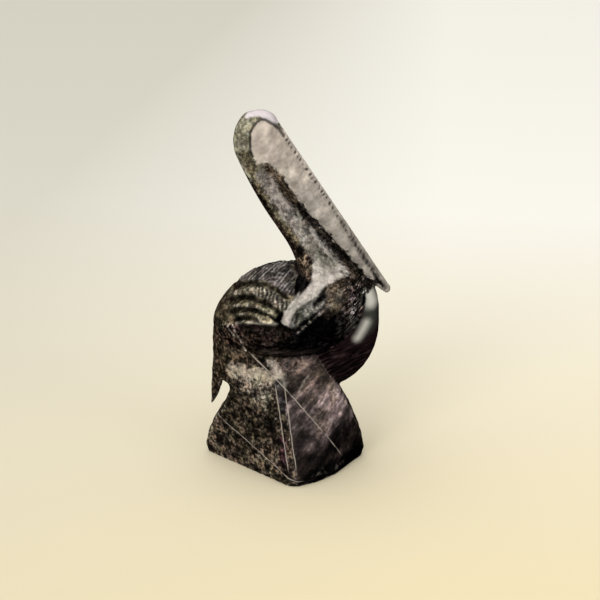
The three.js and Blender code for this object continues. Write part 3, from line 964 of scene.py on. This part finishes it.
@dataclass(frozen=True)
class PolishedMarble:
    """Dark olive and mauve marble with cream figure, sawn, carved and polished.

    The polished bird gives soft clear highlights over a crystalline mottle; the rock is
    left matt, with visible grains, slanting streaks and pale calcite veins.
    """

    name: str = "polished_marble"
    ior: float = 1.5
    specular: float = 0.2
    polish: float = 0.2
    matt: float = 0.55
    # Calcite grains are mostly finer than a pixel of the render, so they are drawn at about 2 mm.
    fleck_mm: float = 1.8
    cloud_mm: float = 5.5
    streak_mm: float = 7.0
    streak_long: float = 3.4
    streak_turn: Place = (0.0, 50.0, 37.0)
    scratch_mm: float = 1.3
    scratch_long: float = 6.0
    scratch_turn: Place = (0.0, -24.0, 0.0)
    bump: float = 0.5
    bump_mm: float = 0.12
    cloud_share: float = 0.55
    cloud_middle: float = 0.5
    vein_share: float = 0.75
    mottle_gain: float = 8.0
    streak_gain: float = 4.6
    scratch_gain: float = 3.4
    hollow_grime_and_shade_gain: float = 0.09
    veins: tuple[Vein, ...] = (
        Vein((0.650, 0.480, 0.588), distance=18.8, half_width=0.28),
        Vein((0.338, -0.225, 0.914), distance=12.2, half_width=0.25),
    )
    # The near edge's two pale lines, drawn as veins: partly wear, partly painted highlight on the bevel's
    # edges.
    worn_lit_edges: tuple[Vein, ...] = (
        Vein((0.988, 0.0, 0.157), distance=1.4, half_width=0.22),
        Vein((0.988, 0.0, 0.155), distance=5.7, half_width=0.22),
    )

    def patterns(self, tree: NodeTree) -> Sockets:
        """Lays flecks, clouds, streaks and scratches out through the block.

        Args:
            tree: The node tree.

        Returns:
            Places in millimetres, as mm, and the patterns by name.
        """
        place = add_node(tree, "TexCoord").outputs["Object"]
        inputs = {"Vector": place, "Scale": (MM_PER_M,) * 3}
        mm = add_node(tree, "Mapping", {}, inputs).outputs[0]
        places = {"fleck": mm, "cloud": mm}
        slants = {
            "streak": (self.streak_turn, (1.0, 1.0, self.streak_long)),
            "scratch": (self.scratch_turn, (self.scratch_long, self.scratch_long, 1.0)),
        }
        for name, (turn, stretch) in slants.items():
            inputs = {"Vector": mm, "Rotation": tuple(math.radians(a) for a in turn), "Scale": stretch}
            slanted = add_node(tree, "Mapping", {"vector_type": "TEXTURE"}, inputs)
            places[name] = slanted.outputs[0]
        noises = {
            "fleck": {"Scale": 1 / self.fleck_mm, "Detail": 5.0, "Roughness": 0.66},
            "cloud": {"Scale": 1 / self.cloud_mm, "Detail": 2.0},
            "streak": {"Scale": 1 / self.streak_mm, "Detail": 5.0, "Roughness": 0.6},
            "scratch": {"Scale": 1 / self.scratch_mm, "Detail": 2.0, "Distortion": 0.6},
        }
        found = {"mm": mm}
        for name, inputs in noises.items():
            found[name] = add_node(tree, "TexNoise", {}, {"Vector": places[name], **inputs}).outputs[0]
        inputs = {0: found["cloud"], 1: self.cloud_share, 2: found["fleck"]}
        found["mottle"] = add_node(tree, "Math", {"operation": "MULTIPLY_ADD"}, inputs).outputs[0]
        return found

    def figured(self, tree: NodeTree, layers: Sockets, patterns: Sockets) -> NodeSocket:
        """Darkens the cut hollows with grime and painted shade, and lightens and darkens the stone by its
        figure.

        Args:
            tree: The node tree.
            layers: What is stored on the surface, by name.
            patterns: The patterns by name.

        Returns:
            The colour with its figure.
        """
        # Each pattern's own range, the swing that it gives, and the gain at a swing of 1.
        swings = {
            "mottle": ((0.64, 0.91), (-1.25, 0.75), self.mottle_gain),
            "streak": ((0.36, 0.64), (-1.1, 0.72), self.streak_gain),
            "scratch": ((0.42, 0.66), (-1.0, 1.0), self.scratch_gain),
        }
        powers = [(layers["hollow_grime_and_shade"], self.hollow_grime_and_shade_gain)]
        for name, ((low, high), (down, up), most) in swings.items():
            inputs = {"From Min": low, "From Max": high, "To Min": down, "To Max": up}
            swing = add_node(tree, "MapRange", {}, {"Value": patterns[name], **inputs}).outputs[0]
            power = add_node(tree, "Math", {"operation": "MULTIPLY"}, {0: swing, 1: layers[name]})
            powers.append((power.outputs[0], most))
        colour = layers["tint"]
        for power, most in powers:
            gain = add_node(tree, "Math", {"operation": "POWER"}, {0: most, 1: power}).outputs[0]
            inputs = {0: colour, "Scale": gain}
            colour = add_node(tree, "VectorMath", {"operation": "SCALE"}, inputs).outputs[0]
        return colour

    def veined(self, tree: NodeTree, colour: NodeSocket, layers: Sockets, patterns: Sockets) -> NodeSocket:
        """Runs the veins through the stone, and the near edge's pale lines of wear and painted highlight.

        Args:
            tree: The node tree.
            colour: The colour of the stone.
            layers: What is stored on the surface, by name.
            patterns: The patterns by name.

        Returns:
            The colour with the veins.
        """
        shown = [(vein, layers["vein"]) for vein in self.veins]
        shown += [(vein, layers["edges"]) for vein in self.worn_lit_edges]
        for vein, where in shown:
            inputs = {0: patterns["mm"], 1: vein.normal}
            across = add_node(tree, "VectorMath", {"operation": "DOT_PRODUCT"}, inputs).outputs["Value"]
            inputs = {0: patterns["cloud"], 1: across}
            wander = add_node(tree, "Math", {"operation": "ADD"}, inputs).outputs[0]
            inputs = {0: wander, 1: vein.distance + self.cloud_middle}
            off = add_node(tree, "Math", {"operation": "SUBTRACT"}, inputs).outputs[0]
            near = add_node(tree, "Math", {"operation": "ABSOLUTE"}, {0: off}).outputs[0]
            inputs = {
                "Value": near,
                "From Min": vein.half_width * 1.6,
                "From Max": vein.half_width * 0.4,
                "To Max": self.vein_share,
            }
            line = add_node(tree, "MapRange", {"interpolation_type": "SMOOTHSTEP"}, inputs).outputs[0]
            share = add_node(tree, "Math", {"operation": "MULTIPLY"}, {0: line, 1: where}).outputs[0]
            inputs = {0: share, 6: colour, 7: (*linear(Stone.VEIN.value), 1)}
            colour = add_node(tree, "Mix", {"data_type": "RGBA"}, inputs).outputs[2]
        return colour

    def material(self) -> Material:
        """Makes the material.

        Returns:
            The material.
        """
        material = bpy.data.materials.new(self.name)
        material.use_nodes = True
        tree = material.node_tree
        tree.nodes.clear()
        stored = {
            name: add_node(tree, "Attribute", {"attribute_name": name}).outputs
            for name in ("tint", "figure", "rough_hollow_vein", "edges")
        }
        layers = {"tint": stored["tint"]["Color"], "edges": stored["edges"]["Fac"]}
        parts = {"figure": ("mottle", "streak", "scratch"), "rough_hollow_vein": ("rough", "hollow_grime_and_shade", "vein")}
        for name, channels in parts.items():
            split = add_node(tree, "SeparateColor", {}, {0: stored[name]["Color"]})
            layers.update(zip(channels, split.outputs))
        patterns = self.patterns(tree)
        colour = self.veined(tree, self.figured(tree, layers, patterns), layers, patterns)
        inputs = {"Value": layers["rough"], "To Min": self.polish, "To Max": self.matt}
        gloss = add_node(tree, "MapRange", {}, inputs).outputs[0]
        inputs = {0: patterns["fleck"], 1: layers["rough"]}
        height = add_node(tree, "Math", {"operation": "MULTIPLY"}, inputs).outputs[0]
        inputs = {"Strength": self.bump, "Distance": self.bump_mm / MM_PER_M, "Height": height}
        finish = {
            "Base Color": colour,
            "Roughness": gloss,
            "IOR": self.ior,
            "Specular IOR Level": self.specular,
            "Normal": add_node(tree, "Bump", {}, inputs).outputs[0],
        }
        shader = add_node(tree, "BsdfPrincipled", {}, finish).outputs[0]
        add_node(tree, "OutputMaterial", {}, {"Surface": shader})
        return material


@dataclass
class Carving:
    """The whole carving: bird and rock from one block."""

    name: str = "pelican"
    slot: str = "polished_marble"
    voxel: float = 0.91
    cuts: int = 1
    back: Mass = Mass((-6, 0, 83), long=37.5, wide=29, up=33, down=17, power=1.62)
    shoulders: Mass = Mass((17, 0, 97), long=20.5, wide=29, up=25, down=25, lean=19)
    breast: Mass = Mass((12, 0, 84), long=33, wide=15.5, up=33, down=38, power=3)
    facet_rounds: int = 3
    bird_rounds: int = 20
    body_rounds: int = 27
    head_rounds: int = 40
    rump_rounds: int = 61
    wing_rounds: int = 2
    reach: float = 1.06
    reach_fade: float = 0.04
    smooth_reach: float = 1.12
    fine_reach: float = 1.05
    fine_below_edge: float = 2.0
    fine_before_front: float = 3.0
    fine_beside_line: float = 1.8
    hue: float = 0.14
    hue_mm: float = 3.5
    warm: Colour = (1, 0, -1)
    olive: Colour = (-0.7, 0.5, -0.7)
    most_share: float = 1.3

    def build(self) -> Object:
        """Makes the carving from the solid and works its surface.

        Returns:
            The finished piece.
        """
        piece = self.blank()
        skin = Skin(piece.data)
        self.smooth(skin)
        NeckAndBreast().soften(skin)
        skin.store()
        self.refine(piece)
        skin = Skin(piece.data)
        masses = self.masses(skin, self.reach)
        bird = np.max(list(masses.values()), axis=0)
        rock, wing, bill, neck = Rock(), Wing(), Bill(), NeckAndBreast()
        rock_share = rock.share(skin, bird)
        wing_share = wing.share(skin, masses["back"] * (1 - masses["shoulders"]))
        skin.rub(wing_share, self.wing_rounds)
        bill.carve(skin)
        neck.carve(skin)
        marks = wing.marks(skin, wing_share)
        wing.carve(skin, marks)
        rock.carve(skin, rock_share)
        neck.stain(skin, masses)
        wing.stain(skin, wing_share * (1 - self.fold_share(skin, neck)), marks)
        rock.stain(skin, rock_share)
        bill.stain(skin)
        warm = self.hue * skin.mottle * skin.grain(self.hue_mm, 20)
        olive = self.hue * skin.mottle * skin.grain(2 * self.hue_mm, 21)
        skin.tint *= 1 + np.outer(warm, self.warm) + np.outer(olive, self.olive)
        for layer in (skin.mottle, skin.streak, skin.scratch, skin.rough, skin.hollow_grime_and_shade, skin.vein):
            np.clip(layer, 0, self.most_share, out=layer)
        skin.finish()
        piece.data.materials.clear()
        piece.data.materials.append(PolishedMarble().material())
        return piece

    def fold_share(self, skin: Skin, neck: NeckAndBreast) -> Array:
        """How much each point lies on the fold in front of the wing."""
        return ramp(to_line(skin.right_flank(), neck.fold), 7, 5)

    def blank(self) -> Object:
        """Copies the solid and gives it an even skin of small faces.

        Returns:
            The new piece, at the origin.
        """
        bpy.ops.object.select_all(action="DESELECT")
        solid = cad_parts[NODE]
        mesh = solid.data.copy()
        piece = bpy.data.objects.new(self.name, mesh)
        bpy.context.scene.collection.objects.link(piece)
        mesh.name = self.name
        piece.select_set(True)
        bpy.context.view_layer.objects.active = piece
        bpy.ops.object.mode_set(mode="EDIT")
        bpy.ops.mesh.select_all(action="SELECT")
        bpy.ops.mesh.remove_doubles(threshold=1e-6)
        bpy.ops.object.mode_set(mode="OBJECT")
        remesh = piece.modifiers.new("even_skin", "REMESH")
        remesh.mode = "VOXEL"
        remesh.voxel_size = self.voxel / MM_PER_M
        bpy.ops.object.modifier_apply(modifier=remesh.name)
        bpy.ops.object.shade_smooth()
        return piece

    def smooth(self, skin: Skin) -> None:
        """Takes the flat facets off the bird and leaves the rock's faces crisp.

        Args:
            skin: The surface.
        """
        z = skin.points[:, 2]
        masses = self.masses(skin, self.smooth_reach)
        bird = np.maximum(np.max(list(masses.values()), axis=0), ramp(z, 84, 92))
        body = bird * ramp(z, 128, 118)
        skin.rub(ramp(z, 0.9, 2.5), self.facet_rounds)
        skin.rub(bird, self.bird_rounds)
        skin.rub(body, self.body_rounds)
        below = Bill().place(skin.points)[:, 1]
        skin.rub(ramp(below, 1, 3) * ramp(z, 108, 114) * ramp(z, 196, 190), self.head_rounds)
        x = skin.points[:, 0]
        rump = ramp(x, -8, -16) * ramp(x, -42, -37) * ramp(np.abs(z - 75), 12, 6)
        skin.rub(rump, self.rump_rounds, keep_size=False)

    def masses(self, skin: Skin, reach: float) -> dict[str, Array]:
        """How much each point belongs to each mass.

        Args:
            skin: The surface.
            reach: The level of a mass at which nothing is left of it.

        Returns:
            Shares by the name of the mass.
        """
        named = {"back": self.back, "shoulders": self.shoulders, "breast": self.breast}
        full = reach - self.reach_fade
        return {name: ramp(mass.level(skin.points), reach, full) for name, mass in named.items()}

    def refine(self, piece: Object) -> None:
        """Halves the faces where the carving is fine: the wings and the bill's line.

        Args:
            piece: The carving.
        """
        mesh = piece.data
        points = rows_of(mesh.polygons, "center", 3).astype(float) * MM_PER_M
        wing, bill = Wing(), Bill()
        fine = self.back.level(points) < self.fine_reach
        fine &= above(points, wing.edge) > -self.fine_below_edge
        fine &= points[:, 0] < wing.front + self.fine_before_front
        fine |= to_line(bill.place(points), bill.path()) < self.fine_beside_line
        mesh.polygons.foreach_set("select", fine)
        bpy.ops.object.mode_set(mode="EDIT")
        bpy.ops.mesh.select_mode(type="FACE")
        bpy.ops.mesh.subdivide(number_cuts=self.cuts, smoothness=0)
        bpy.ops.object.mode_set(mode="OBJECT")

    def join(self, piece: Object) -> None:
        """Ties the piece to the solid that it stands for.

        Args:
            piece: The carving.
        """
        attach(piece, "root")
        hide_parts(NODE)


@dataclass(frozen=True)
class PaleFloor:
    """Smooth cream studio paper: matt, a little whiter away from the camera, with painted shade to the
    left.
    """

    name: str = "cream_paper"
    near: str = "#e3d4ac"
    far: str = "#f6f3e9"
    left: str = "#cac5b3"
    depth: tuple[float, float] = (-0.15, 0.5)
    width: tuple[float, float] = (0.08, -0.3)
    left_shade_share: float = 0.7
    roughness: float = 0.8
    specular: float = 0.1

    def material(self) -> Material:
        """Makes the material.

        Returns:
            The material.
        """
        material = bpy.data.materials.new(self.name)
        material.use_nodes = True
        tree = material.node_tree
        tree.nodes.clear()
        place = add_node(tree, "TexCoord").outputs["Object"]
        axes = add_node(tree, "SeparateXYZ", {}, {0: place}).outputs
        colour = (*linear(self.near), 1)
        # The X blend paints shade towards the left of the floor.
        blends = (("Y", self.depth, 1.0, self.far), ("X", self.width, self.left_shade_share, self.left))
        for axis, (start, end), most, towards in blends:
            inputs = {"Value": axes[axis], "From Min": start, "From Max": end, "To Max": most}
            share = add_node(tree, "MapRange", {}, inputs).outputs[0]
            mix = {0: share, 6: colour, 7: (*linear(towards), 1)}
            colour = add_node(tree, "Mix", {"data_type": "RGBA"}, mix).outputs[2]
        finish = {"Base Color": colour, "Roughness": self.roughness, "Specular IOR Level": self.specular}
        shader = add_node(tree, "BsdfPrincipled", {}, finish).outputs[0]
        add_node(tree, "OutputMaterial", {}, {"Surface": shader})
        return material


class Lamp(Enum):
    """The soft boxes: place and size in metres, watts, colour, and whether the polish mirrors them."""

    FRONT = ((-0.45, -1.1, 0.55), 0.7, 6.2, "#ffffff", False)
    RIGHT = ((0.9, -0.55, 0.5), 0.5, 1.2, "#fffdfa", True)


@dataclass
class Studio:
    """Floor, light and camera."""

    floor_size: float = 12.0
    sky: str = "#ffffff"
    sky_strength: float = 0.42
    day: str = "#ffffff"
    day_strength: float = 1.9
    day_from: Place = (-0.25, -0.2, 1.0)
    day_spread: float = 100.0
    azimuth: float = 6.0
    elevation: float = 20.0
    distance: float = 0.7
    target: Place = (0.003, 0.0, 0.095)
    frame_height: float = 0.3168
    sensor: float = 36.0

    def build(self) -> None:
        """Sets the stage up."""
        self.floor()
        self.light()
        self.camera()
        bpy.context.scene.view_settings.view_transform = "Standard"

    def floor(self) -> None:
        """Lays the floor."""
        bpy.ops.object.select_all(action="DESELECT")
        bpy.ops.mesh.primitive_plane_add(size=self.floor_size)
        floor = bpy.context.object
        floor.name = "floor"
        floor.data.materials.append(PaleFloor().material())
        floor.visible_glossy = False
        floor.visible_diffuse = False

    def light(self) -> None:
        """Hangs the soft boxes and sets the room light."""
        for lamp in Lamp:
            place, size, power, colour, shines = lamp.value
            bpy.ops.object.light_add(type="AREA", location=place)
            light = bpy.context.object
            light.name = f"{lamp.name.lower()}_box"
            aim = Vector(self.target) - light.location
            light.rotation_euler = aim.to_track_quat("-Z", "Y").to_euler()
            light.data.shape = "DISK"
            light.data.size = size
            light.data.energy = power
            light.data.color = linear(colour)
            light.visible_glossy = shines
        bpy.ops.object.light_add(type="SUN", location=self.day_from)
        day = bpy.context.object
        day.name = "day"
        day.rotation_euler = Vector(self.day_from).to_track_quat("Z", "Y").to_euler()
        day.data.angle = math.radians(self.day_spread)
        day.data.energy = self.day_strength
        day.data.color = linear(self.day)
        day.visible_glossy = False
        world = bpy.data.worlds.new("room")
        world.use_nodes = True
        sky = world.node_tree.nodes["Background"]
        sky.inputs["Color"].default_value = (*linear(self.sky), 1)
        sky.inputs["Strength"].default_value = self.sky_strength
        bpy.context.scene.world = world
        world.cycles_visibility.glossy = False

    def camera(self) -> None:
        """Places the camera at the photograph's angle."""
        a, e = math.radians(self.azimuth), math.radians(self.elevation)
        back = Vector((math.sin(a) * math.cos(e), -math.cos(a) * math.cos(e), math.sin(e)))
        target = Vector(self.target)
        bpy.ops.object.camera_add(location=target + self.distance * back)
        camera = bpy.context.object
        camera.rotation_euler = (-back).to_track_quat("-Z", "Y").to_euler()
        camera.data.sensor_width = self.sensor
        camera.data.lens = self.sensor * self.distance / self.frame_height
        bpy.context.scene.camera = camera


def main() -> None:
    """Builds the carving and the studio."""
    logging.basicConfig(level=logging.INFO, format="%(name)s: %(message)s")
    carving = Carving()
    piece = carving.build()
    carving.join(piece)
    triangles = sum(len(p.vertices) - 2 for p in piece.data.polygons)
    LOG.info("%s: %d points, %d triangles", piece.name, len(piece.data.vertices), triangles)
    Studio().build()
    LOG.info("studio: floor, %d lamps, camera", len(Lamp))


if __name__ == "__main__":
    main()
